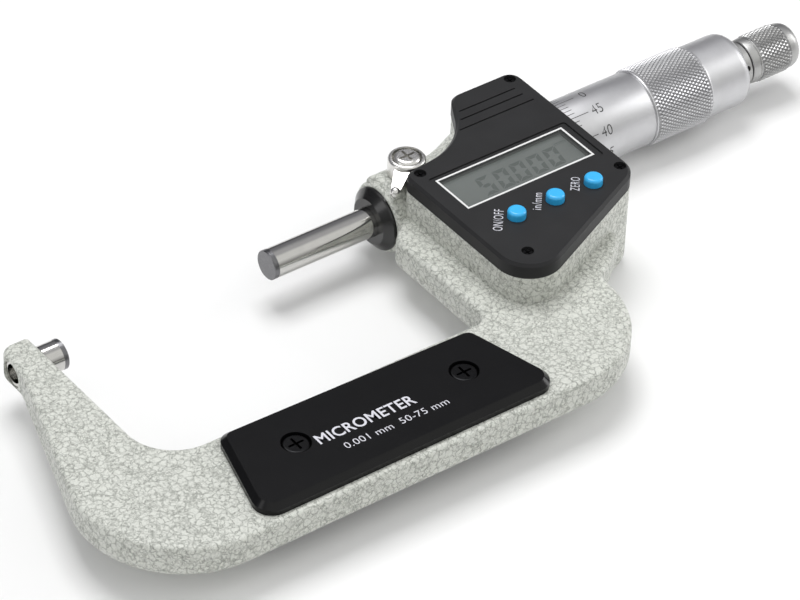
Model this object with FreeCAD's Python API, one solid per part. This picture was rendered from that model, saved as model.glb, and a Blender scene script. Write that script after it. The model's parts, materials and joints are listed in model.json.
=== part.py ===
import FreeCAD, Part
import math
import os

# Digital outside micrometer, 50 to 75 mm, lying on its back.
# Units are millimetres. The origin is the centre of the anvil's measuring face.
# +X runs along the spindle from the anvil to the ratchet, +Z is the side with the display,
# and the back of the C-frame is towards -Y.

V = FreeCAD.Vector
X_DIR = V(1, 0, 0)
Z_DIR = V(0, 0, 1)
ORIGIN = V(0, 0, 0)

# Measuring line
SPINDLE_R = 3.25
GAP = 50.0
TRAVEL = 25.0
TIP_LENGTH = 1.1
RUNNING = 0.03

# C-frame
WEB_HALF = 3.75
ANVIL_WALL_X = -4.9
ANVIL_END_X = -11.9
FRAME_BACK_Y = -69.0
BOSS_FACE_X = 78.0
BOSS_R = 7.8
PAD_TOP_Z = 8.7

# Housing and display cover
HOUSE_TOP_Z = 10.0
HOUSE_LEFT_X = 80.4
HOUSE_RIGHT_X = 121.3
HOUSE_BACK_Y = 11.3
COVER_TOP_Z = 13.4
COVER_INNER_Z = 11.9
GASKET = 0.4

# Sleeve and thimble
SLEEVE_R = 7.3
THIMBLE_X = 118.5
THIMBLE_R = 8.3
KNURL_X0 = 145.9
KNURL_X1 = 161.3
KNURL_R = 8.7
THIMBLE_REAR_R = 8.25
THIMBLE_END_X = 172.6

# Lock
LOCK_X = 85.1

# Buttons: name and place
BUTTON_Y = -28.9
BUTTONS = [("button_on_off", 91.2), ("button_in_mm", 101.1), ("button_zero", 111.0)]
BUTTON_R = 1.95

# Screws: places
COVER_SCREWS = [(118.8, 9.1), (83.6, -6.5), (119.2, -27.4), (86.2, -39.0)]
GRIP_SCREWS = [(18.5, -54.0), (58.4, -55.0)]

# Battery
BATTERY_X = 99.0
BATTERY_Y = -26.0


def rod(x0, x1, r0, r1=None):
    """Round bar or taper along X."""
    if r1 is None or abs(r1 - r0) < 1e-9:
        return Part.makeCylinder(r0, x1 - x0, V(x0, 0, 0), X_DIR)
    return Part.makeCone(r0, r1, x1 - x0, V(x0, 0, 0), X_DIR)


def post(x, y, z0, z1, r0, r1=None):
    """Round post or taper along Z."""
    if r1 is None or abs(r1 - r0) < 1e-9:
        return Part.makeCylinder(r0, z1 - z0, V(x, y, z0), Z_DIR)
    return Part.makeCone(r0, r1, z1 - z0, V(x, y, z0), Z_DIR)


def block(x0, x1, y0, y1, z0, z1):
    return Part.makeBox(x1 - x0, y1 - y0, z1 - z0, V(x0, y0, z0))


def joined(shapes):
    """Fuse a list of shapes that touch or overlap into one solid."""
    result = shapes[0].fuse(shapes[1:])
    return result.removeSplitter()


def rounded_wire(points, z):
    """Closed outline through (x, y) or (x, y, corner radius) points."""
    count = len(points)
    starts = []
    for i in range(count):
        p = V(points[i][0], points[i][1], z)
        radius = points[i][2] if len(points[i]) > 2 else 0.0
        if radius <= 0:
            starts.append((p, None, p))
            continue
        before = V(points[i - 1][0], points[i - 1][1], z)
        after = V(points[(i + 1) % count][0], points[(i + 1) % count][1], z)
        u = before - p
        w = after - p
        u.normalize()
        w.normalize()
        half = u.getAngle(w) / 2
        reach = radius / math.tan(half)
        middle = u + w
        middle.normalize()
        centre = p + middle * (radius / math.sin(half))
        starts.append((p + u * reach, centre - middle * radius, p + w * reach))
    edges = []
    for i in range(count):
        first, mid, last = starts[i]
        if mid is not None:
            edges.append(Part.Arc(first, mid, last).toShape())
        nxt = starts[(i + 1) % count][0]
        if (nxt - last).Length > 1e-6:
            edges.append(Part.makeLine(last, nxt))
    return Part.Wire(edges)


def slab(points, z0, z1):
    face = Part.Face(rounded_wire(points, z0))
    return face.extrude(V(0, 0, z1 - z0))


def level_edges(shape, z):
    """Edges that lie in the plane at height z."""
    found = []
    for edge in shape.Edges:
        box = edge.BoundBox
        if abs(box.ZMin - z) < 1e-5 and abs(box.ZMax - z) < 1e-5:
            found.append(edge)
    return found


def ring_edges(shape, x):
    """Edges that lie in the plane at x."""
    found = []
    for edge in shape.Edges:
        box = edge.BoundBox
        if abs(box.XMin - x) < 1e-5 and abs(box.XMax - x) < 1e-5:
            found.append(edge)
    return found


def turned(profile):
    """Solid turned about the X axis from (x, radius) points; the outline closes on itself."""
    pts = [V(x, r, 0) for x, r in profile]
    pts.append(pts[0])
    face = Part.Face(Part.makePolygon(pts))
    return face.revolve(ORIGIN, X_DIR, 360)


def phillips(x, y, z, size, depth):
    """Cross-shaped driver recess, open at height z and cut downwards."""
    width = size * 0.3
    arm_a = block(x - size, x + size, y - width / 2, y + width / 2, z - depth, z + 1)
    arm_b = block(x - width / 2, x + width / 2, y - size, y + size, z - depth, z + 1)
    point = post(x, y, z - depth * 1.25, z, width * 0.55)
    return joined([arm_a, arm_b, point])


def screw_down(x, y, head_r, head_z0, head_z1, shank_r, tip_z, dome):
    """Cross-recess screw pointing down, with a slightly domed head."""
    head = post(x, y, head_z0, head_z1, head_r)
    head = head.makeFillet(dome, level_edges(head, head_z1))
    shank = post(x, y, tip_z + shank_r * 0.6, head_z0 + 0.01, shank_r)
    point = post(x, y, tip_z, tip_z + shank_r * 0.6, shank_r * 0.4, shank_r)
    body = joined([head, shank, point])
    return body.cut(phillips(x, y, head_z1, head_r * 0.62, (head_z1 - head_z0) * 0.62))


def flipped(shape):
    """Turn a piece over to the back, keeping x and y."""
    return shape.mirror(ORIGIN, Z_DIR)


os.makedirs("parts", exist_ok=True)


def save(name, shape):
    shape.exportStep("parts/" + name + ".step")
    print(name, "solids", len(shape.Solids), "valid", shape.isValid(), "mm3", round(shape.Volume, 1))


# ---------------------------------------------------------------- frame casting
WEB = [(ANVIL_WALL_X, 4.6, 1.0), (ANVIL_END_X, 4.6, 3.0), (ANVIL_END_X, -3.8, 9.0),
       (-34.2, FRAME_BACK_Y, 22.6), (101.5, FRAME_BACK_Y, 22.5), (101.5, -44.6, 3.0),
       (107.0, -40.9, 4.0), (113.0, -36.0), (113.0, -5.0), (80.5, -5.0), (78.6, -7.3),
       (74.0, -11.4, 3.0), (74.0, -42.4, 3.0), (ANVIL_WALL_X, -41.5, 10.5)]
HOUSE = [(HOUSE_LEFT_X, -4.75, 3.0), (HOUSE_LEFT_X, -48.6, 7.5), (HOUSE_RIGHT_X, -30.15, 6.0),
         (HOUSE_RIGHT_X, HOUSE_BACK_Y, 3.0), (104.9, HOUSE_BACK_Y, 3.6), (97.1, -2.6, 17.0)]
COVER = [(HOUSE_LEFT_X, -4.75, 3.0), (HOUSE_LEFT_X, -48.6, 7.5), (HOUSE_RIGHT_X, -30.15, 6.0),
         (HOUSE_RIGHT_X, HOUSE_BACK_Y, 3.0), (104.7, HOUSE_BACK_Y, 3.8), (96.9, -2.6, 17.0)]
POCKET = [(82.8, -9.8, 1.0), (82.8, -45.1, 6.0), (118.9, -29.3, 4.0), (118.9, -9.8, 1.0)]
LEDGE = [(84.4, -11.4, 1.0), (84.4, -42.8, 5.0), (117.3, -28.7, 3.0), (117.3, -11.4, 1.0)]
BOARD = [(83.0, -10.0, 1.0), (83.0, -44.8, 5.9), (118.7, -29.15, 3.9), (118.7, -10.0, 1.0)]
POST_R = 2.0

web = slab(WEB, -WEB_HALF, WEB_HALF)
web = web.makeFillet(1.1, level_edges(web, WEB_HALF))
web = web.makeFillet(2.2, level_edges(web, -WEB_HALF))
house = slab(HOUSE, -HOUSE_TOP_Z, HOUSE_TOP_Z)
house = house.makeFillet(2.6, level_edges(house, -HOUSE_TOP_Z))
boss = rod(BOSS_FACE_X, 103.0, BOSS_R)
boss = boss.makeFillet(1.0, ring_edges(boss, BOSS_FACE_X))
pad = block(BOSS_FACE_X + 0.4, 92.0, -4.6, 4.6, 0, PAD_TOP_Z)
pad = pad.makeFillet(2.2, [e for e in pad.Edges if e.BoundBox.ZMin > PAD_TOP_Z - 0.01 and e.BoundBox.XMax < 92.1
                           and e.BoundBox.XLength > 1] + [e for e in level_edges(pad, PAD_TOP_Z)
                                                          if e.BoundBox.XMax < BOSS_FACE_X + 0.5])
flare = turned([(90.0, 0), (90.0, 7.0), (96.5, 8.15), (98.6, 8.75), (100.4, 9.45), (102.4, 10.2),
                (104.2, 10.75), (106.0, 11.0), (106.0, 0)])
flare = flare.common(block(89.0, 107.0, -12.0, 12.0, -7.2, HOUSE_TOP_Z - 0.3))
frame = joined([web, house, boss, pad, flare])

pocket_cut = slab(POCKET, 5.2, HOUSE_TOP_Z + 0.1)
ledge_cut = slab(LEDGE, 0.5, 5.3)
posts = [post(x, y, 0.4, HOUSE_TOP_Z + 0.2, POST_R) for x, y in COVER_SCREWS[2:]]
electronics = pocket_cut.fuse(ledge_cut).cut(posts[0]).cut(posts[1])
cuts = [electronics]
cuts.append(rod(BOSS_FACE_X - 1, 104.0, SPINDLE_R + RUNNING))
cuts.append(rod(BOSS_FACE_X - 1, 80.6, 4.6))
cuts.append(rod(103.4, 114.2, 8.2))
cuts.append(rod(114.0, HOUSE_RIGHT_X + 1, 8.9))
cuts.append(rod(ANVIL_END_X - 1, ANVIL_WALL_X + 1, 2.95))
cuts.append(post(LOCK_X, 0, 2.5, PAD_TOP_Z + 1, 1.6))
cuts.append(block(105.2, 108.4, -12.0, -6.5, 2.5, 4.8))
for x, y in COVER_SCREWS:
    cuts.append(post(x, y, 5.6, HOUSE_TOP_Z + 1, 0.7))
for x, y in GRIP_SCREWS:
    cuts.append(post(x, y, 0.5, WEB_HALF + 1, 1.25))
    cuts.append(post(x, y, -WEB_HALF - 1, -0.5, 1.25))
cuts.append(post(BATTERY_X, BATTERY_Y, -HOUSE_TOP_Z - 1, -2.6, 6.1))
cuts.append(post(BATTERY_X, BATTERY_Y, -HOUSE_TOP_Z - 1, -8.5, 7.7))
cuts.append(post(BATTERY_X, BATTERY_Y, -3.0, 1.0, 1.5))
frame = frame.cut(cuts)
save("frame", frame)

# ---------------------------------------------------------------- anvil
anvil = joined([rod(-11.2, ANVIL_WALL_X, 2.95), rod(ANVIL_WALL_X, -TIP_LENGTH, SPINDLE_R)])
anvil = anvil.cut(rod(-12.0, -7.2, 2.1)).cut(rod(-7.21, -6.2, 2.1, 0.6))
save("anvil", anvil)
tip = rod(-TIP_LENGTH, 0, SPINDLE_R)
tip = tip.makeChamfer(0.12, ring_edges(tip, 0))
save("anvil_tip", tip)

# ---------------------------------------------------------------- spindle
X_TIP = GAP + TIP_LENGTH
spindle = turned([(X_TIP, 0), (X_TIP, SPINDLE_R), (110.0, SPINDLE_R), (110.3, 2.8), (110.9, 2.8),
                  (111.2, 3.19), (148.6, 3.19), (149.0, 2.8), (151.0, 2.8), (151.2, 3.1),
                  (161.0, 2.6), (161.0, 1.25), (152.0, 1.25), (151.5, 0)])
spindle = spindle.cut(block(80.6, 109.6, -0.5, 0.5, 2.65, 4.0))
save("spindle", spindle)
tip = rod(GAP, X_TIP, SPINDLE_R)
tip = tip.makeChamfer(0.12, ring_edges(tip, GAP))
save("spindle_tip", tip)
collar = turned([(75.8, 3.31), (75.8, 5.1), (76.1, 5.45), (77.3, 6.85), (77.6, 7.0), (78.0, 7.0),
                 (78.0, 4.6), (80.4, 4.6), (80.4, 3.31)])
save("spindle_collar", collar)

# ---------------------------------------------------------------- sleeve group
sleeve = turned([(110.4, 5.0), (110.4, 8.2), (113.9, 8.2), (113.9, SLEEVE_R), (146.6, SLEEVE_R),
                 (147.0, 6.9), (147.0, 5.0)])
save("sleeve", sleeve)
save("spindle_nut", rod(134.0, 147.0, 5.0).cut(rod(133.0, 148.0, SPINDLE_R + 0.02)))
nut = rod(147.0, 149.4, 6.6)
nut = nut.makeChamfer(0.3, ring_edges(nut, 149.4))
nut = nut.cut(rod(146.0, 150.0, 3.6))
for k in range(4):
    slot = block(148.4, 150.0, -0.5, 0.5, 4.6, 7.0)
    slot.rotate(ORIGIN, X_DIR, 90 * k)
    nut = nut.cut(slot)
save("adjusting_nut", nut)

# ---------------------------------------------------------------- thimble group
thimble = turned([(THIMBLE_X, 7.39), (THIMBLE_X, 7.65), (THIMBLE_X + 3.4, THIMBLE_R),
                  (KNURL_X0 - 0.5, THIMBLE_R), (KNURL_X0 - 0.3, THIMBLE_R - 0.25), (KNURL_X0, THIMBLE_R - 0.25),
                  (KNURL_X0, KNURL_R), (KNURL_X1, KNURL_R), (KNURL_X1 + 0.45, THIMBLE_REAR_R),
                  (170.6, THIMBLE_REAR_R), (171.6, 7.95), (172.3, 7.3), (THIMBLE_END_X, 6.3),
                  (THIMBLE_END_X, 3.2), (161.2, 3.2), (161.2, 2.6), (151.2, 3.1), (151.2, 7.39)])
save("thimble", thimble)
NECK_END_X = 175.0
KNOB_X = 175.5
screw = turned([(153.5, 0), (153.5, 0.9), (153.9, 1.24), (161.2, 1.24), (161.2, 3.15), (THIMBLE_END_X, 3.15),
                (THIMBLE_END_X, 5.0), (NECK_END_X, 5.0), (NECK_END_X, 1.8), (186.4, 1.8), (186.4, 0.8), (181.0, 0.8), (180.6, 0)])
tommy = Part.makeCylinder(0.62, 2.2, V(173.85, 0, 3.0), Z_DIR)
tommy.rotate(ORIGIN, X_DIR, 68)
screw = screw.cut(tommy).cut(block(175.0, 190.0, -3, 3, 1.4, 3))
save("ratchet_screw", screw)
END = 189.0
KNOB = [(KNOB_X, 4.0), (KNOB_X, 4.85), (KNOB_X + 0.3, 5.05), (177.4, 5.15), (177.6, 5.0), (177.8, 5.35),
        (186.0, 5.35), (186.2, 5.15), (187.6, 5.0), (188.5, 4.45), (END, 3.5), (END, 2.7), (187.0, 2.7),
        (187.0, 1.86), (182.6, 1.86), (182.6, 4.0)]
knob = turned(KNOB)
TEETH = 24
clutch = rod(178.6, 181.6, 3.9).cut(rod(178.0, 182.0, 1.86))
clutch = clutch.fuse(block(178.6, 181.6, -1.2, 1.2, 1.48, 2.6))
knob_ribs = []
clutch_ribs = []
for k in range(TEETH):
    rib = block(181.95, 182.61, -0.13, 0.13, 2.7, 4.01)
    rib.rotate(ORIGIN, X_DIR, 360.0 / TEETH * k)
    knob_ribs.append(rib)
    rib = block(181.59, 182.2, -0.13, 0.13, 2.7, 3.88)
    rib.rotate(ORIGIN, X_DIR, 360.0 / TEETH * (k + 0.5))
    clutch_ribs.append(rib)
save("ratchet_knob", knob.fuse(knob_ribs).removeSplitter())
save("ratchet_clutch", clutch.fuse(clutch_ribs).removeSplitter())
# wave spring: three thin rings standing on small crests
spring = []
for k in range(3):
    x = NECK_END_X + 1.35 * k
    spring.append(rod(x, x + 0.3, 3.4).cut(rod(x - 1, x + 1, 2.2)))
    if k < 2:
        for angle in (90 * k, 90 * k + 180):
            crest = block(x + 0.29, x + 1.36, -0.5, 0.5, 2.3, 3.3)
            crest.rotate(ORIGIN, X_DIR, angle)
            spring.append(crest)
coil = joined(spring)
save("ratchet_spring", coil)
stud = turned([(181.6, 0), (181.6, 0.78), (187.2, 0.78), (187.2, 2.3), (188.1, 2.3), (188.4, 1.9), (188.4, 0)])
stud = stud.cut(block(187.9, 189.0, -3, 3, -0.3, 0.3))
save("knob_screw", stud)

# ---------------------------------------------------------------- encoder
stator = rod(103.4, 104.6, 8.2).cut(rod(103.0, 105.0, 3.7))
save("encoder_stator", stator)
rotor = joined([rod(105.1, 106.1, 7.5), rod(106.1, 109.0, 4.8)])
rotor = rotor.cut(rod(104.0, 110.0, SPINDLE_R + 0.04))
key = block(106.0, 108.6, -0.42, 0.42, 2.78, 3.8)
rotor = joined([rotor, key])
save("encoder_rotor", rotor)
washer = rod(109.1, 109.5, 7.4).cut(rod(109.0, 110.5, 5.4))
feet = []
for k in range(3):
    foot = block(109.4, 110.4, -0.9, 0.9, 5.5, 7.2)
    foot.rotate(ORIGIN, X_DIR, 120 * k)
    feet.append(foot)
save("rotor_spring", washer.fuse(feet).removeSplitter())

# ---------------------------------------------------------------- lock
lever = post(LOCK_X, 0, PAD_TOP_Z + 0.25, 12.9, 4.0)
lever = lever.makeFillet(0.7, level_edges(lever, 12.9))
along = V(-0.788, -0.616, 0)
side = V(0.616, -0.788, 0)


def bar_end(distance, width, z_low, z_high):
    mid = V(LOCK_X, 0, 0) + along * distance
    a = mid + side * (width / 2)
    b = mid - side * (width / 2)
    corners = [V(a.x, a.y, z_low), V(b.x, b.y, z_low), V(b.x, b.y, z_high), V(a.x, a.y, z_high)]
    return Part.makePolygon(corners + [corners[0]])


arm = Part.makeLoft([bar_end(2.9, 3.5, 9.6, 12.2), bar_end(8.6, 1.9, 9.2, 10.5)], True)
ball_at = V(LOCK_X, 0, 10.1) + along * 8.8
lever = joined([lever, arm, Part.makeSphere(1.15, ball_at)])
lever = lever.cut(post(LOCK_X, 0, 11.4, 14.0, 3.2)).cut(post(LOCK_X, 0, 8.0, 12.0, 1.6))
save("lock_lever", lever)
save("lock_screw", screw_down(LOCK_X, 0, 2.95, 11.4, 13.2, 1.55, 4.4, 1.1))
save("lock_pin", post(LOCK_X, 0, SPINDLE_R + 0.04, 4.3, 1.58))

# ---------------------------------------------------------------- display cover
cover = slab(COVER, HOUSE_TOP_Z + GASKET, COVER_TOP_Z)
cover = cover.makeChamfer(0.6, level_edges(cover, COVER_TOP_Z))
inner = slab(POCKET, HOUSE_TOP_Z, COVER_INNER_Z)
for x, y in COVER_SCREWS[2:]:
    inner = inner.cut(post(x, y, HOUSE_TOP_Z - 1, COVER_INNER_Z + 1, POST_R))
WINDOW = [(83.6, -9.1, 0.7), (83.6, -22.5, 0.7), (119.0, -22.5, 0.7), (119.0, -9.1, 0.7)]
cover_cuts = [inner, slab(WINDOW, 12.5, COVER_TOP_Z + 1)]
cover_cuts.append(block(85.2, 116.8, -20.8, -10.5, 10.0, 12.6))
for x, y in COVER_SCREWS:
    cover_cuts.append(post(x, y, 12.2, COVER_TOP_Z + 1, 1.3))
    cover_cuts.append(post(x, y, HOUSE_TOP_Z - 1, COVER_TOP_Z, 0.8))
for name, x in BUTTONS:
    cover_cuts.append(post(x, BUTTON_Y, 10.0, COVER_TOP_Z + 1, BUTTON_R + 0.07))
for x0, x1, y in [(103.0, 117.6, 5.85), (101.5, 117.8, 3.4), (99.2, 118.6, 0.65)]:
    cover_cuts.append(block(x0, x1, y - 0.18, y + 0.18, COVER_TOP_Z - 0.3, COVER_TOP_Z + 1))
cover = cover.cut(cover_cuts)
save("display_cover", cover)
gasket = slab(COVER, HOUSE_TOP_Z, HOUSE_TOP_Z + GASKET)
gasket = gasket.cut(slab(POCKET, HOUSE_TOP_Z - 1, HOUSE_TOP_Z + 1).cut(posts[0]).cut(posts[1]))
for x, y in COVER_SCREWS:
    gasket = gasket.cut(post(x, y, HOUSE_TOP_Z - 1, HOUSE_TOP_Z + 1, 0.8))
save("cover_gasket", gasket)
screws = [screw_down(x, y, 1.25, 12.2, 13.0, 0.68, 6.0, 0.25) for x, y in COVER_SCREWS]
save("cover_screws", Part.makeCompound(screws))
LENS = [(83.7, -9.2, 0.6), (83.7, -22.4, 0.6), (118.9, -22.4, 0.6), (118.9, -9.2, 0.6)]
save("display_window", slab(LENS, 12.5, 13.1))
save("lcd_module", block(83.9, 118.0, -22.0, -10.0, 9.6, 11.85))
lcd_frame = block(83.9, 118.0, -22.0, -10.1, 6.4, 9.6).cut(block(85.6, 116.3, -20.3, -11.8, 6.0, 10.0))
save("lcd_frame", lcd_frame)
save("conductive_strip", block(87.0, 115.0, -20.0, -18.6, 6.4, 9.6))
board = slab(BOARD, 5.2, 6.4)
for x, y in COVER_SCREWS[2:]:
    board = board.cut(post(x, y, 5.0, 7.0, POST_R + 0.15))
save("circuit_board", board)
save("controller_chip", block(88.6, 97.2, -38.2, -33.2, 6.4, 7.6))
pad_shape = [block(87.8, 113.4, -30.9, -25.9, 6.4, 7.3)]
for name, x in BUTTONS:
    pad_shape.append(post(x, BUTTON_Y, 7.29, 9.2, 2.4, 1.5))
save("button_pad", joined(pad_shape))
for name, x in BUTTONS:
    cap = post(x, BUTTON_Y, 9.8, 15.2, BUTTON_R)
    cap = cap.makeFillet(0.7, level_edges(cap, 15.2))
    save(name, joined([cap, post(x, BUTTON_Y, 10.2, 11.75, 2.6)]))

# ---------------------------------------------------------------- battery, from the back
save("battery", joined([post(BATTERY_X, BATTERY_Y, -8.4, -3.7, 5.8), post(BATTERY_X, BATTERY_Y, -3.7, -3.1, 4.6)]))
save("battery_contact", joined([post(BATTERY_X, BATTERY_Y, -3.05, -2.6, 3.4), post(BATTERY_X, BATTERY_Y, -2.7, 0.4, 1.4)]))
cap = post(BATTERY_X, BATTERY_Y, -HOUSE_TOP_Z, -8.8, 7.62)
cap = cap.makeChamfer(0.3, level_edges(cap, -HOUSE_TOP_Z))
cap = cap.cut(block(BATTERY_X - 5.5, BATTERY_X + 5.5, BATTERY_Y - 0.8, BATTERY_Y + 0.8, -HOUSE_TOP_Z - 1, -9.3))
save("battery_cap", cap)
seal = post(BATTERY_X, BATTERY_Y, -8.8, -8.5, 7.4).cut(post(BATTERY_X, BATTERY_Y, -9.0, -8.0, 6.2))
save("battery_seal", seal)

# ---------------------------------------------------------------- grip plates and their screws
GRIP = [(7.7, -43.0, 3.0), (67.5, -44.6, 3.0), (73.6, -67.3, 4.0), (0.9, -67.3, 4.0)]
GRIP_T = 2.4
grip = slab(GRIP, WEB_HALF, WEB_HALF + GRIP_T)
grip = grip.makeChamfer(1.2, level_edges(grip, WEB_HALF + GRIP_T))
for x, y in GRIP_SCREWS:
    grip = grip.cut(post(x, y, WEB_HALF + 0.9, 9.0, 3.1)).cut(post(x, y, 0, 9.0, 1.4))
save("front_grip_plate", grip)
BACK_GRIP = [(7.7, -43.4, 3.0), (67.2, -45.0, 3.0), (72.2, -64.4, 4.0), (2.4, -64.4, 4.0)]
back_grip = slab(BACK_GRIP, WEB_HALF, WEB_HALF + 1.6)
back_grip = back_grip.makeChamfer(0.8, level_edges(back_grip, WEB_HALF + 1.6))
for x, y in GRIP_SCREWS:
    back_grip = back_grip.cut(post(x, y, WEB_HALF + 0.4, 9.0, 3.1)).cut(post(x, y, 0, 9.0, 1.4))
save("rear_grip_plate", flipped(back_grip))
screws = [screw_down(x, y, 2.85, WEB_HALF + 0.9, WEB_HALF + 2.1, 1.22, 0.8, 0.5) for x, y in GRIP_SCREWS]
save("front_grip_screws", Part.makeCompound(screws))
screws = [screw_down(x, y, 2.85, WEB_HALF + 0.4, WEB_HALF + 1.4, 1.22, 0.8, 0.4) for x, y in GRIP_SCREWS]
save("rear_grip_screws", Part.makeCompound([flipped(s) for s in screws]))
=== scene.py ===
import json
import math

import bmesh
import bpy
from mathutils import Matrix, Vector


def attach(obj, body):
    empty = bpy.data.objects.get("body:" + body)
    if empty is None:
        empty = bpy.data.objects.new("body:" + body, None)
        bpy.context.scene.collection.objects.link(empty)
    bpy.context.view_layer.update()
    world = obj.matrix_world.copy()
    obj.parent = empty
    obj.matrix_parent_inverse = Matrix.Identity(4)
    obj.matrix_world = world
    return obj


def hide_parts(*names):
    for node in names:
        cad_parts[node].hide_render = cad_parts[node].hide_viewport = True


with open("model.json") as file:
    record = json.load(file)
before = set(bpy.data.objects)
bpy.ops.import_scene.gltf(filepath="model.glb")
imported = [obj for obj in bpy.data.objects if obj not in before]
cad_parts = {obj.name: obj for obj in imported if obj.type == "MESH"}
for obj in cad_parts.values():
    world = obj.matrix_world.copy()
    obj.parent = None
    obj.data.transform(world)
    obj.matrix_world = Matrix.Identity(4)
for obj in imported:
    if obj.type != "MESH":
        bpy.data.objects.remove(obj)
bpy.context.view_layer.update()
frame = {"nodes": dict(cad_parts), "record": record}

MM = 0.001
TAU = 2 * math.pi

# ------------------------------------------------------------------ driving sizes, in millimetres
# X runs along the spindle from the anvil, Y away from the viewer, Z up out of the display.
THIMBLE_FRONT = 118.5
THIMBLE_FRONT_R = 7.65
THIMBLE_BORE_R = 7.39
BEVEL_END = 121.9
THIMBLE_R = 8.3
THIMBLE_END = 172.6
BAND_START = 146.15
BAND_END = 161.1
BAND_VALLEY_R = 8.42
BAND_TOP_R = 8.7
KNOB_FRONT = 175.5
KNOB_END = 189.0
KNOB_BAND_START = 177.85
KNOB_BAND_END = 186.0
KNOB_VALLEY_R = 5.1
KNOB_TOP_R = 5.35
SLEEVE_R = 7.3
WINDOW_TOP = 13.1
LCD_TOP = 11.85
COVER_TOP = 13.4
GRIP_TOP = 6.15
FLOOR_Z = -10.2

# Print stands this far off the surface below it
INK_ON_THIMBLE = 0.015
INK_ON_SLEEVE = 0.01
INK_ON_LCD = 0.02
INK_ON_PLASTIC = 0.012

# Where the object sits for lights and where the camera stands, in metres
CENTRE = Vector((0.085, -0.03, 0.0))
CAMERA_PLACE = Vector((-0.39722, -0.61095, 0.60263))
CAMERA_RIGHT = Vector((0.80190, -0.59640, 0.03556))
CAMERA_FORWARD = Vector((0.48231, 0.61108, -0.62766))


# ------------------------------------------------------------------ colour and node helpers
def linear(r, g, b):
    """sRGB 0-255 to the linear colour a shader takes."""
    out = []
    for v in (r, g, b):
        v = v / 255.0
        out.append(v / 12.92 if v <= 0.04045 else ((v + 0.055) / 1.055) ** 2.4)
    return (out[0], out[1], out[2], 1.0)


class Nodes:
    """Adds nodes to one node tree."""

    def __init__(self, tree):
        self.tree = tree

    def add(self, kind, **settings):
        node = self.tree.nodes.new(kind)
        for key, value in settings.items():
            setattr(node, key, value)
        return node

    def link(self, a, b):
        self.tree.links.new(a, b)

    def put(self, socket, value):
        """Gives a socket a constant, or links another node's output to it."""
        if isinstance(value, (int, float, tuple)):
            socket.default_value = value
        else:
            self.link(value, socket)

    def scaled(self, vector, factor):
        node = self.add("ShaderNodeVectorMath", operation="SCALE")
        self.link(vector, node.inputs[0])
        self.put(node.inputs["Scale"], factor)
        return node.outputs[0]

    def ramp(self, value, stops):
        node = self.add("ShaderNodeValToRGB")
        while len(node.color_ramp.elements) < len(stops):
            node.color_ramp.elements.new(0.5)
        for element, (place, colour) in zip(node.color_ramp.elements, stops):
            element.position = place
            element.color = colour if len(colour) == 4 else (*colour, 1.0)
        self.link(value, node.inputs["Fac"])
        return node.outputs["Color"]

    def remap(self, value, from_min, from_max, to_min, to_max):
        node = self.add("ShaderNodeMapRange")
        node.inputs["From Min"].default_value = from_min
        node.inputs["From Max"].default_value = from_max
        node.inputs["To Min"].default_value = to_min
        node.inputs["To Max"].default_value = to_max
        self.link(value, node.inputs["Value"])
        return node.outputs["Result"]

    def math(self, operation, a, b):
        node = self.add("ShaderNodeMath", operation=operation)
        self.put(node.inputs[0], a)
        self.put(node.inputs[1], b)
        return node.outputs[0]

    def mix(self, factor, a, b):
        node = self.add("ShaderNodeMix", data_type="RGBA")
        self.put(node.inputs["Factor"], factor)
        for letter, value in (("A", a), ("B", b)):
            socket = [s for s in node.inputs if s.name == letter and s.type == "RGBA"][0]
            self.put(socket, value)
        return [s for s in node.outputs if s.type == "RGBA"][0]


MATS = {}


class Shader(Nodes):
    """One new material with its Principled shader, listed in MATS under its name."""

    SOCKETS = {"base": "Base Color", "rough": "Roughness", "metal": "Metallic", "coat": "Coat Weight",
               "coat_rough": "Coat Roughness", "specular": "Specular IOR Level", "ior": "IOR",
               "alpha": "Alpha", "glow": "Emission Color", "glow_strength": "Emission Strength"}

    def __init__(self, name):
        self.mat = bpy.data.materials.new(name)
        MATS[name] = self.mat
        self.mat.use_nodes = True
        super().__init__(self.mat.node_tree)
        self.bsdf = self.tree.nodes["Principled BSDF"]
        coord = self.add("ShaderNodeTexCoord")
        self.place_mm = self.scaled(coord.outputs["Object"], 1 / MM)

    def stretched(self, x, y, z):
        node = self.add("ShaderNodeVectorMath", operation="MULTIPLY")
        node.inputs[1].default_value = (x, y, z)
        self.link(self.place_mm, node.inputs[0])
        return node.outputs[0]

    def noise(self, scale, detail=2.0, rough=0.5, vector=None, output="Fac"):
        node = self.add("ShaderNodeTexNoise")
        node.inputs["Scale"].default_value = scale
        node.inputs["Detail"].default_value = detail
        node.inputs["Roughness"].default_value = rough
        self.link(vector if vector is not None else self.place_mm, node.inputs["Vector"])
        return node.outputs[output]

    def bump(self, height, strength, distance_mm):
        node = self.add("ShaderNodeBump")
        node.inputs["Strength"].default_value = strength
        node.inputs["Distance"].default_value = distance_mm * MM
        self.link(height, node.inputs["Height"])
        self.link(node.outputs["Normal"], self.bsdf.inputs["Normal"])

    def set(self, **values):
        for key, value in values.items():
            self.put(self.bsdf.inputs[self.SOCKETS[key]], value)


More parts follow.
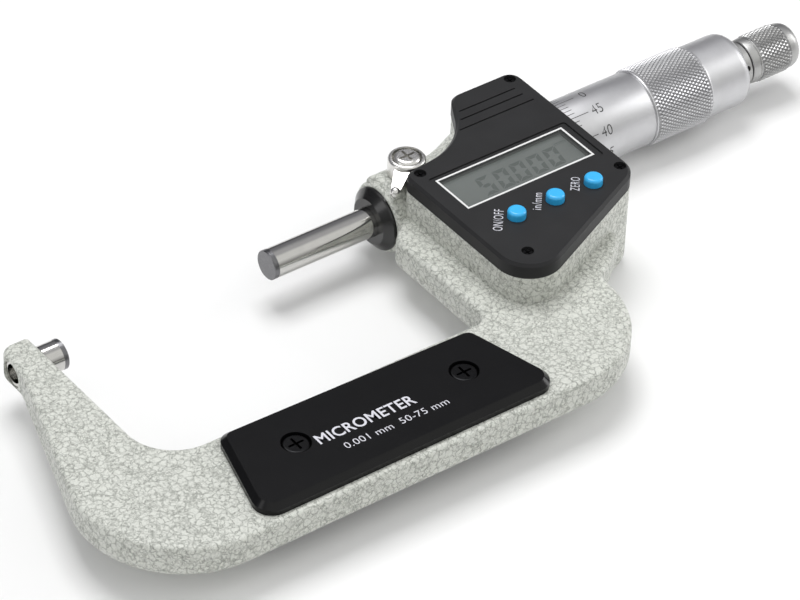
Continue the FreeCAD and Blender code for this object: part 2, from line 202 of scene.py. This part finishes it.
# ------------------------------------------------------------------ materials
def crackle_paint():
    """Pale enamel with two nets of dark veins, the finer one in patches."""
    s = Shader("crackle_paint")
    warp = s.noise(1.1, 3.0, output="Color")
    moved = s.add("ShaderNodeVectorMath", operation="ADD")
    s.link(s.place_mm, moved.inputs[0])
    s.link(s.scaled(warp, 1.5), moved.inputs[1])
    nets = []
    for scale, width in ((0.66, 0.13), (1.15, 0.11)):
        cells = s.add("ShaderNodeTexVoronoi", feature="DISTANCE_TO_EDGE")
        cells.inputs["Scale"].default_value = scale
        s.link(moved.outputs[0], cells.inputs["Vector"])
        nets.append(s.remap(cells.outputs["Distance"], 0.0, width, 1.0, 0.0))
    patch = s.remap(s.noise(0.35, 1.0), 0.38, 0.6, 0.25, 1.0)
    veins = s.math("MAXIMUM", nets[0], s.math("MULTIPLY", nets[1], patch))
    broken = s.remap(s.noise(1.3, 2.0, 0.6), 0.33, 0.58, 0.3, 1.0)
    veins = s.math("MULTIPLY", veins, broken)
    grain = s.noise(7.0, 3.0, 0.7)
    tone = s.ramp(grain, [(0.25, linear(196, 198, 191)), (0.5, linear(214, 216, 209)),
                          (0.8, linear(226, 227, 221))])
    colour = s.mix(s.math("MULTIPLY", veins, 0.9), tone, linear(128, 131, 124))
    s.set(base=colour, rough=s.remap(veins, 0.0, 1.0, 0.38, 0.6), specular=0.45)
    height = s.math("ADD", s.math("MULTIPLY", veins, -1.0), s.math("MULTIPLY", grain, 0.5))
    s.bump(height, 0.5, 0.14)


def knurl_valley_shade(s, x0, x1, low_r, high_r):
    """1 at the bottom of a knurl between x0 and x1, falling to 0 at its tops; it masks the painted shade in
    the knurl's valleys.
    """
    place = s.add("ShaderNodeSeparateXYZ")
    s.link(s.place_mm, place.inputs[0])
    off_axis = s.add("ShaderNodeVectorMath", operation="LENGTH")
    s.link(s.stretched(0.0, 1.0, 1.0), off_axis.inputs[0])
    low = s.remap(off_axis.outputs["Value"], low_r, high_r, 1.0, 0.0)
    inside = s.math("MULTIPLY", s.math("GREATER_THAN", place.outputs["X"], x0),
                    s.math("LESS_THAN", place.outputs["X"], x1))
    return s.math("MULTIPLY", low, inside)


def metal(name, tint, rough, turned=0.0, along=0.0, spots=0.0, depth=0.004, knurl_shade_span=None):
    """Steel or chrome. turned adds lathe rings round X, along adds lengthwise streaks, spots adds fine pits.

    knurl_shade_span (x0, x1, low_r, high_r) paints shade into the bottom of a knurl as a darker grey.
    """
    s = Shader(name)
    marks = []
    if turned > 0:
        marks.append(s.math("MULTIPLY", s.noise(1.0, 3.0, 0.65, s.stretched(14.0, 0.25, 0.25)), turned))
    if along > 0:
        marks.append(s.math("MULTIPLY", s.noise(1.0, 3.0, 0.6, s.stretched(0.12, 9.0, 9.0)), along))
    if spots > 0:
        marks.append(s.math("MULTIPLY", s.noise(9.0, 2.0, 0.6), spots))
    height = marks[0]
    for extra in marks[1:]:
        height = s.math("ADD", height, extra)
    worn = tuple(c * 0.95 for c in tint[:3]) + (1.0,)
    base = s.mix(s.remap(s.noise(0.35, 3.0, 0.6), 0.35, 0.7, 0.0, 1.0), tint, worn)
    if knurl_shade_span:
        # Painted shade: a darker grey mixed into the knurl's valleys
        base = s.mix(s.math("MULTIPLY", knurl_valley_shade(s, *knurl_shade_span), 0.6), base, linear(112, 112, 114))
    s.set(base=base, metal=1.0, rough=s.remap(height, 0.3, 0.75, rough * 0.8, rough * 1.25))
    s.bump(height, 0.35, depth)


def plastic(name, colour, rough, grain_scale=9.0, grain=0.25, coat=0.0, depth=0.02, specular=0.5):
    """Moulded plastic or rubber with a fine grain and a faint broad change of tone."""
    s = Shader(name)
    fine = s.noise(grain_scale, 3.0, 0.6)
    broad = s.noise(0.15, 2.0, 0.5)
    light = tuple(min(1.0, c * 1.12 + 0.0008) for c in colour[:3]) + (1.0,)
    s.set(base=s.mix(s.remap(broad, 0.3, 0.7, 0.0, 1.0), colour, light),
          rough=s.remap(fine, 0.3, 0.7, rough * 0.88, rough * 1.12),
          coat=coat, coat_rough=0.12, specular=specular)
    s.bump(fine, grain, depth)


def clear_window():
    s = Shader("clear_window")
    smear = s.noise(0.2, 3.0, 0.6)
    s.set(base=(0.30, 0.32, 0.31, 1.0), rough=s.remap(smear, 0.3, 0.7, 0.03, 0.09), ior=1.35, alpha=0.12,
          specular=0.35)
    s.bump(smear, 0.05, 0.01)


def display_glass():
    s = Shader("display_glass")
    broad = s.remap(s.noise(0.12, 2.0, 0.5), 0.3, 0.7, 0.0, 1.0)
    s.set(base=s.mix(broad, linear(99, 104, 102), linear(105, 110, 108)), rough=0.35, specular=0.4)
    s.bump(s.noise(20.0, 2.0), 0.1, 0.01)


def print_ink(name, colour, rough=0.5):
    s = Shader(name)
    fine = s.remap(s.noise(14.0, 2.0, 0.6), 0.4, 0.7, 0.0, 1.0)
    dim = tuple(c * 0.93 for c in colour[:3]) + (1.0,)
    s.set(base=s.mix(fine, colour, dim), rough=rough, specular=0.3)


crackle_paint()
clear_window()
display_glass()
metal("ground_steel", linear(204, 203, 200), 0.13, turned=0.5, spots=0.1, depth=0.002)
metal("carbide", linear(122, 122, 124), 0.3, turned=0.5, spots=0.4, depth=0.003)
metal("satin_chrome", linear(207, 207, 209), 0.56, turned=0.2, spots=0.2, depth=0.002,
      knurl_shade_span=(146.2, 161.0, 8.45, 8.7))
metal("knob_chrome", linear(182, 182, 181), 0.5, turned=0.2, spots=0.2, depth=0.002,
      knurl_shade_span=(177.9, 186.0, 5.12, 5.38))
metal("lock_chrome", linear(222, 221, 218), 0.27, spots=1.0, depth=0.003)
metal("brass", linear(196, 164, 96), 0.3, turned=0.8, spots=0.2)
metal("spring_steel", linear(170, 170, 172), 0.25, spots=0.6, along=0.3)
metal("screw_black", linear(34, 34, 35), 0.34, spots=0.8)
metal("cell_steel", linear(190, 190, 192), 0.2, spots=0.6)
plastic("collar_black", linear(12, 12, 12), 0.22, grain_scale=6.0, grain=0.1, coat=0.2)
plastic("cover_black", linear(41, 41, 42), 0.42, grain_scale=12.0, grain=0.2, depth=0.012, specular=0.15)
plastic("gasket_rubber", linear(24, 24, 24), 0.7, grain=0.3)
plastic("holder_plastic", linear(190, 190, 186), 0.5)
plastic("board_green", linear(26, 92, 52), 0.35, grain_scale=4.0)
plastic("chip_black", linear(26, 26, 27), 0.5)
plastic("pad_rubber", linear(120, 120, 120), 0.6)
plastic("button_blue", linear(52, 174, 234), 0.34, grain_scale=5.0, grain=0.06, coat=0.1)
plastic("grip_black", linear(10, 10, 11), 0.2, grain_scale=7.0, grain=0.06, depth=0.008, specular=0.26)
plastic("cap_black", linear(34, 34, 35), 0.4, grain=0.2)
print_ink("ink_white", linear(214, 214, 222))
print_ink("ink_frame", linear(226, 226, 226))
print_ink("ink_black", linear(60, 60, 60), 0.6)
print_ink("ink_digit", linear(70, 76, 74), 0.45)
MATS["frame_paint"] = MATS["crackle_paint"]
MATS["window_clear"] = MATS["clear_window"]

SLOTS = {part["node"]: part["material_slot"] for part in frame["record"]["subparts"]}
for name, node in frame["nodes"].items():
    node.data.materials.clear()
    node.data.materials.append(MATS[SLOTS[name]])


# ------------------------------------------------------------------ mesh helpers
class Shape:
    """Vertices in millimetres and faces, collected from smaller shapes."""

    def __init__(self):
        self.verts = []
        self.faces = []

    def add(self, verts, faces):
        base = len(self.verts)
        self.verts += verts
        self.faces += [tuple(i + base for i in face) for face in faces]


def mesh_piece(name, shape, material, body):
    mesh = bpy.data.meshes.new(name)
    mesh.from_pydata([tuple(c * MM for c in v) for v in shape.verts], [], shape.faces)
    mesh.validate()
    work = bmesh.new()
    work.from_mesh(mesh)
    bmesh.ops.recalc_face_normals(work, faces=work.faces)
    work.to_mesh(mesh)
    work.free()
    piece = bpy.data.objects.new(name, mesh)
    bpy.context.scene.collection.objects.link(piece)
    mesh.materials.append(MATS[material])
    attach(piece, body)
    return piece


def smooth_by_angle(piece, degrees):
    """Smooth shading, except across edges that turn by more than this."""
    limit = math.cos(math.radians(degrees))
    work = bmesh.new()
    work.from_mesh(piece.data)
    for face in work.faces:
        face.smooth = True
    for edge in work.edges:
        sides = edge.link_faces
        edge.smooth = len(sides) == 2 and sides[0].normal.dot(sides[1].normal) > limit
    work.to_mesh(piece.data)
    work.free()


def ring_point(x, r, angle):
    """A point round the spindle axis; the angle starts at the top and turns towards +Y."""
    return (x, r * math.sin(angle), r * math.cos(angle))


def lathe(profile, steps):
    """Rings of vertices from (x, radius) points, closed round on itself."""
    verts = [ring_point(x, r, TAU * k / steps) for x, r in profile for k in range(steps)]
    faces = []
    for i in range(len(profile)):
        j = (i + 1) % len(profile)
        for k in range(steps):
            n = (k + 1) % steps
            faces.append((i * steps + k, i * steps + n, j * steps + n, j * steps + k))
    return verts, faces


def knurl(x0, x1, valley, top, around, rows, flat):
    """Diamond knurl: every diamond is a small truncated pyramid standing between crossing grooves."""
    verts = []
    faces = []
    index = {}
    dx = (x1 - x0) / rows

    def place(x, turns, r):
        verts.append(ring_point(x, r, TAU * turns))
        return len(verts) - 1

    def corner(i, j):
        key = (i, j % (2 * around))
        if key not in index:
            index[key] = place(x0 + (x1 - x0) * i / rows, key[1] / (2.0 * around), valley)
        return index[key]

    for i in range(rows + 1):
        for j in range(2 * around):
            if (i + j) % 2:
                continue
            turn = j / (2.0 * around)
            ring = []
            for di, dj in ((-1, 0), (0, 1), (1, 0), (0, -1)):
                if 0 <= i + di <= rows:
                    ring.append((corner(i + di, j + dj), di, dj))
            if len(ring) == 4:
                tops = [place(x0 + dx * i + dx * di * flat, turn + dj * flat / (2.0 * around), top)
                        for _, di, dj in ring]
                for k in range(4):
                    n = (k + 1) % 4
                    faces.append((ring[k][0], ring[n][0], tops[n], tops[k]))
                faces.append(tuple(tops))
            else:
                faces.append(tuple(c for c, _, _ in ring))
    return verts, faces


def turned_with_knurl(front, rear, steps, band):
    """A lathe body that is open between its front and rear profiles, where the knurled band closes it."""
    shape = Shape()
    verts, faces = lathe(front + rear, steps)
    gap = len(front) - 1
    shape.add(verts, [face for face in faces if face[0] // steps != gap])
    shape.add(*band)
    return shape


def ladder(rungs):
    """Faces between pairs of points that follow each other along a strip."""
    return [(2 * i, 2 * i + 1, 2 * i + 3, 2 * i + 2) for i in range(rungs)]


def rectangle(x0, y0, x1, y1, z):
    return [(x0, y0, z), (x1, y0, z), (x1, y1, z), (x0, y1, z)], [(0, 1, 2, 3)]


def rectangle_line(x0, y0, x1, y1, width, z):
    """A flat line of this width just inside a rectangle."""
    verts = []
    for x, y, dx, dy in ((x0, y0, 1, 1), (x1, y0, -1, 1), (x1, y1, -1, -1), (x0, y1, 1, -1)):
        verts.append((x, y, z))
        verts.append((x + dx * width, y + dy * width, z))
    faces = []
    for i in range(4):
        j = (i + 1) % 4
        faces.append((2 * i, 2 * j, 2 * j + 1, 2 * i + 1))
    return verts, faces


def text_shape(words, height, spacing=1.0, thin=0.0):
    """Letters as flat (u, v) points and faces, centred, with capitals of the asked height in mm."""
    capital_share = 0.69
    curve = bpy.data.curves.new("letters", "FONT")
    curve.body = words
    curve.size = height / capital_share
    curve.space_character = spacing
    curve.align_x = "CENTER"
    curve.offset = -thin
    curve.resolution_u = 4
    holder = bpy.data.objects.new("letters", curve)
    bpy.context.scene.collection.objects.link(holder)
    bpy.context.view_layer.update()
    mesh = bpy.data.meshes.new_from_object(holder.evaluated_get(bpy.context.evaluated_depsgraph_get()))
    work = bmesh.new()
    work.from_mesh(mesh)
    bmesh.ops.triangulate(work, faces=work.faces)
    points = [(v.co.x, v.co.y - height / 2) for v in work.verts]
    faces = [tuple(v.index for v in f.verts) for f in work.faces]
    work.free()
    bpy.data.objects.remove(holder)
    bpy.data.meshes.remove(mesh)
    bpy.data.curves.remove(curve)
    return points, faces


def flat_text(name, words, height, length, x, y, z, turn_deg, spacing, thin):
    """White print lying flat on the frame side, made exactly as long as asked. A negative thin is bolder."""
    points, faces = text_shape(words, height, spacing, thin)
    left = min(u for u, v in points)
    right = max(u for u, v in points)
    c = math.cos(math.radians(turn_deg))
    s = math.sin(math.radians(turn_deg))
    shape = Shape()
    placed = []
    for u, v in points:
        u = (u - (left + right) / 2) * length / (right - left)
        placed.append((x + c * u - s * v, y + s * u + c * v, z))
    shape.add(placed, faces)
    mesh_piece(name, shape, "ink_white", "frame")


# ------------------------------------------------------------------ thimble and ratchet knob
def thimble_shape():
    front = [(THIMBLE_FRONT, THIMBLE_BORE_R), (THIMBLE_FRONT, THIMBLE_FRONT_R), (BEVEL_END, THIMBLE_R),
             (145.3, THIMBLE_R), (145.45, 8.24), (145.55, 8.08), (145.9, 8.08), (145.9, 8.36),
             (BAND_START, BAND_VALLEY_R)]
    rear = [(BAND_END, BAND_VALLEY_R), (161.4, 8.27), (161.6, 8.25), (170.2, 8.25), (170.9, 8.15),
            (171.55, 7.9), (172.1, 7.42), (172.45, 6.8), (THIMBLE_END, 6.2), (THIMBLE_END, 3.2), (161.2, 3.2),
            (161.2, 2.6), (151.2, 3.1), (151.2, THIMBLE_BORE_R)]
    band = knurl(BAND_START, BAND_END, BAND_VALLEY_R, BAND_TOP_R, around=62, rows=22, flat=0.22)
    return turned_with_knurl(front, rear, 160, band)


def knob_shape():
    front = [(KNOB_FRONT, 4.0), (KNOB_FRONT, 4.8), (175.65, 4.97), (175.85, 5.03), (177.3, 5.12),
             (177.45, 5.0), (177.6, 4.95), (177.7, 5.08), (KNOB_BAND_START, KNOB_VALLEY_R)]
    rear = [(KNOB_BAND_END, KNOB_VALLEY_R), (186.1, 5.1), (187.2, 5.05), (187.9, 4.85), (188.5, 4.45),
            (188.85, 3.95), (KNOB_END, 3.45), (KNOB_END, 2.7), (187.0, 2.7), (187.0, 1.86), (182.6, 1.86),
            (182.6, 4.0)]
    band = knurl(KNOB_BAND_START, KNOB_BAND_END, KNOB_VALLEY_R, KNOB_TOP_R, around=38, rows=12, flat=0.2)
    return turned_with_knurl(front, rear, 128, band)


SMOOTH_UP_TO = 24

thimble = mesh_piece("thimble_turned", thimble_shape(), "satin_chrome", "spindle")
smooth_by_angle(thimble, SMOOTH_UP_TO)
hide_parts("thimble")

knob = mesh_piece("ratchet_knob_knurled", knob_shape(), "knob_chrome", "ratchet_knob")
smooth_by_angle(knob, SMOOTH_UP_TO)
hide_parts("ratchet_knob")

# ------------------------------------------------------------------ graduations
ZERO_DEG = 12.0
DIVISIONS = 50
NUMERAL_X = 132.7


def thimble_radius(x):
    """Radius of the print on the bevel or behind it."""
    if x < BEVEL_END:
        slope = (THIMBLE_R - THIMBLE_FRONT_R) / (BEVEL_END - THIMBLE_FRONT)
        return THIMBLE_FRONT_R + (x - THIMBLE_FRONT) * slope + INK_ON_THIMBLE
    return THIMBLE_R + INK_ON_THIMBLE


def thimble_scale():
    """Fifty lines, every fifth one longer and with its number."""
    shape = Shape()
    for k in range(DIVISIONS):
        turn = math.radians(ZERO_DEG - 360 / DIVISIONS * k)
        line_end = 130.4 if k % 5 == 0 else 127.4
        verts = []
        for x in (THIMBLE_FRONT + 0.2, BEVEL_END, line_end):
            r = thimble_radius(x)
            verts += [ring_point(x, r, turn + side / r) for side in (-0.075, 0.075)]
        shape.add(verts, ladder(2))
    for k in range(0, DIVISIONS, 5):
        points, faces = text_shape(str((DIVISIONS - k) % DIVISIONS), 2.3, spacing=1.05, thin=0.025)
        turn = math.radians(ZERO_DEG - 360 / DIVISIONS * k)
        r = THIMBLE_R + INK_ON_THIMBLE
        shape.add([ring_point(NUMERAL_X + 0.86 * u, r, turn + v / r) for u, v in points], faces)
    return shape


def sleeve_scale():
    """One lengthwise line with a mark every half millimetre, on its two sides in turn."""
    shape = Shape()
    line = math.radians(ZERO_DEG)

    def mark(x0, x1, a0, a1, steps):
        verts = [ring_point(x, SLEEVE_R + INK_ON_SLEEVE, a0 + (a1 - a0) * i / steps)
                 for i in range(steps + 1) for x in (x0, x1)]
        shape.add(verts, ladder(steps))

    mark(118.0, 145.5, line - 0.008, line + 0.008, 1)
    for k in range(51):
        x = THIMBLE_FRONT + 0.5 * k
        reach = 0.34 if k % 10 == 0 else 0.2
        side = 1 if k % 2 == 0 else -1
        mark(x - 0.05, x + 0.05, line, line + side * reach, 4)
    return shape


mesh_piece("thimble_scale", thimble_scale(), "ink_black", "spindle")
mesh_piece("sleeve_scale", sleeve_scale(), "ink_black", "frame")

# ------------------------------------------------------------------ display
# The pane is the window's top face, and the view is the clear part inside its white line.
PANE = (83.75, -22.35, 118.85, -9.25)
VIEW = (84.8, -21.2, 117.5, -10.0)
DIGIT_W = 3.3
DIGIT_H = 5.9
DIGIT_STEP = 4.35
SEGMENT_T = 1.0
SLANT = 0.2
FIRST_DIGIT = (91.5, -18.8)
SEGMENTS_OF = {"0": "abcdef", "5": "acdfg"}


def window_line():
    shape = Shape()
    shape.add(*rectangle_line(*VIEW, 0.45, WINDOW_TOP + 0.015))
    return shape


def window_border():
    """Dark print on the pane outside the white line."""
    left, front, right, back = PANE
    view_left, view_front, view_right, view_back = VIEW
    shape = Shape()
    for sides in ((left, front, right, view_front), (left, view_back, right, back),
                  (left, view_front, view_left, view_back), (view_right, view_front, right, view_back)):
        shape.add(*rectangle(*sides, WINDOW_TOP + 0.008))
    return shape


def segment_shapes(w, h, t):
    """The seven bars of one digit, w wide and h high, with bars t thick."""
    m = h / 2
    g = 0.12
    return {
        "a": [(g, h), (w - g, h), (w - g - t, h - t), (g + t, h - t)],
        "d": [(g + t, t), (w - g - t, t), (w - g, 0), (g, 0)],
        "g": [(g + t / 2, m), (g + t, m + t / 2), (w - g - t, m + t / 2), (w - g - t / 2, m),
              (w - g - t, m - t / 2), (g + t, m - t / 2)],
        "f": [(0, h - g), (t, h - g - t), (t, m + g + t / 2), (0, m + g)],
        "b": [(w, h - g), (w, m + g), (w - t, m + g + t / 2), (w - t, h - g - t)],
        "e": [(0, m - g), (t, m - g - t / 2), (t, g + t), (0, g)],
        "c": [(w, m - g), (w, g), (w - t, g + t), (w - t, m - g - t / 2)],
    }


def display_digits():
    """The reading 50.000 and its unit."""
    shape = Shape()
    z = LCD_TOP + INK_ON_LCD
    bars = segment_shapes(DIGIT_W, DIGIT_H, SEGMENT_T)
    x, y = FIRST_DIGIT
    for i, digit in enumerate("50000"):
        left = x + i * DIGIT_STEP
        for key in SEGMENTS_OF[digit]:
            verts = [(left + u + SLANT * v, y + v, z) for u, v in bars[key]]
            shape.add(verts, [tuple(range(len(verts)))])
    point_x = x + 2 * DIGIT_STEP - 0.85
    shape.add(*rectangle(point_x, y, point_x + 0.6, y + 0.6, z))
    points, faces = text_shape("mm", 1.3)
    shape.add([(115.0 + u, -12.6 + v, z) for u, v in points], faces)
    return shape


mesh_piece("window_line", window_line(), "ink_frame", "frame")
mesh_piece("window_border", window_border(), "cover_black", "frame")
mesh_piece("display_digits", display_digits(), "ink_digit", "frame")

# ------------------------------------------------------------------ printed words
# Name, words, height, length, centre X, centre Y and thinning of each
COVER_PRINT = [
    ("label_on_off", "ON/OFF", 2.0, 7.0, 87.35, -27.8, 0.015),
    ("label_in_mm", "in/mm", 1.9, 5.6, 97.7, -27.3, 0.01),
    ("label_zero", "ZERO", 1.9, 4.5, 107.7, -27.1, 0.015),
]
GRIP_PRINT = [
    ("grip_resolution", "0.001 mm", 1.75, 11.2, 31.2, -60.3, 0.01),
    ("grip_range", "50-75 mm", 1.75, 11.4, 44.5, -60.4, 0.01),
    ("grip_name", "MICROMETER", 2.7, 23.0, 33.6, -56.0, -0.06),
]
for name, words, height, length, x, y, thin in COVER_PRINT:
    flat_text(name, words, height, length, x, y, COVER_TOP + INK_ON_PLASTIC, 50, 1.12, thin)
for name, words, height, length, x, y, thin in GRIP_PRINT:
    flat_text(name, words, height, length, x, y, GRIP_TOP + INK_ON_PLASTIC, -1, 1.05, thin)


# ------------------------------------------------------------------ stage, light and camera
def paper_floor():
    half = 3000.0
    mesh = bpy.data.meshes.new("floor")
    verts, faces = rectangle(-half, -half, half, half, FLOOR_Z)
    mesh.from_pydata([tuple(c * MM for c in v) for v in verts], [], faces)
    floor = bpy.data.objects.new("floor", mesh)
    bpy.context.scene.collection.objects.link(floor)
    paper = Shader("floor_paper")
    paper.set(base=(0.84, 0.84, 0.84, 1.0), rough=0.9, specular=0.1,
              glow=(1.0, 1.0, 1.0, 1.0), glow_strength=0.06)
    mesh.materials.append(paper.mat)


def area_light(name, width, power, offset):
    """A soft panel at this offset from the object's centre, in metres, turned towards it."""
    data = bpy.data.lights.new(name, "AREA")
    data.shape = "RECTANGLE"
    data.size = width
    data.size_y = 0.5
    data.energy = power
    lamp = bpy.data.objects.new(name, data)
    bpy.context.scene.collection.objects.link(lamp)
    lamp.location = CENTRE + Vector(offset)
    lamp.rotation_mode = "QUATERNION"
    lamp.rotation_quaternion = (-Vector(offset)).to_track_quat("-Z", "Y")


def studio_world():
    """A sky that is bright in front, grey behind the object, and dimmer near the horizon."""
    world = bpy.data.worlds.new("studio")
    bpy.context.scene.world = world
    world.use_nodes = True
    sky = Nodes(world.node_tree)
    split = sky.add("ShaderNodeSeparateXYZ")
    sky.link(sky.add("ShaderNodeTexCoord").outputs["Generated"], split.inputs[0])
    depth = sky.remap(split.outputs["Y"], -0.32, 0.60, 0.0, 1.0)
    glow = sky.ramp(depth, [(0.0, (0.92, 0.92, 0.90)), (0.26, (0.56, 0.56, 0.5712)),
                            (0.62, (0.50, 0.50, 0.51)), (1.0, (0.25, 0.25, 0.27))])
    rise = sky.remap(split.outputs["Z"], 0.05, 0.5, 0.3, 1.0)
    background = world.node_tree.nodes["Background"]
    sky.link(sky.scaled(glow, rise), background.inputs["Color"])
    background.inputs["Strength"].default_value = 0.95


def aimed_camera():
    data = bpy.data.cameras.new("camera")
    data.sensor_width = 36.0
    data.lens = 213.93
    data.clip_start = 0.05
    data.clip_end = 20.0
    camera = bpy.data.objects.new("camera", data)
    bpy.context.scene.collection.objects.link(camera)
    forward = CAMERA_FORWARD.normalized()
    up = CAMERA_RIGHT.cross(forward).normalized()
    right = forward.cross(up).normalized()
    turn = Matrix((right, up, -forward)).transposed()
    camera.matrix_world = Matrix.Translation(CAMERA_PLACE) @ turn.to_4x4()
    bpy.context.scene.camera = camera


paper_floor()
area_light("key_light", 0.5, 5.5, (0.06, 0.30, 0.87))
area_light("right_light", 0.25, 1.5, (0.75, -0.15, 0.30))
area_light("left_light", 0.25, 0.6, (-0.75, 0.10, 0.30))
studio_world()
aimed_camera()
bpy.context.scene.view_settings.view_transform = "Standard"
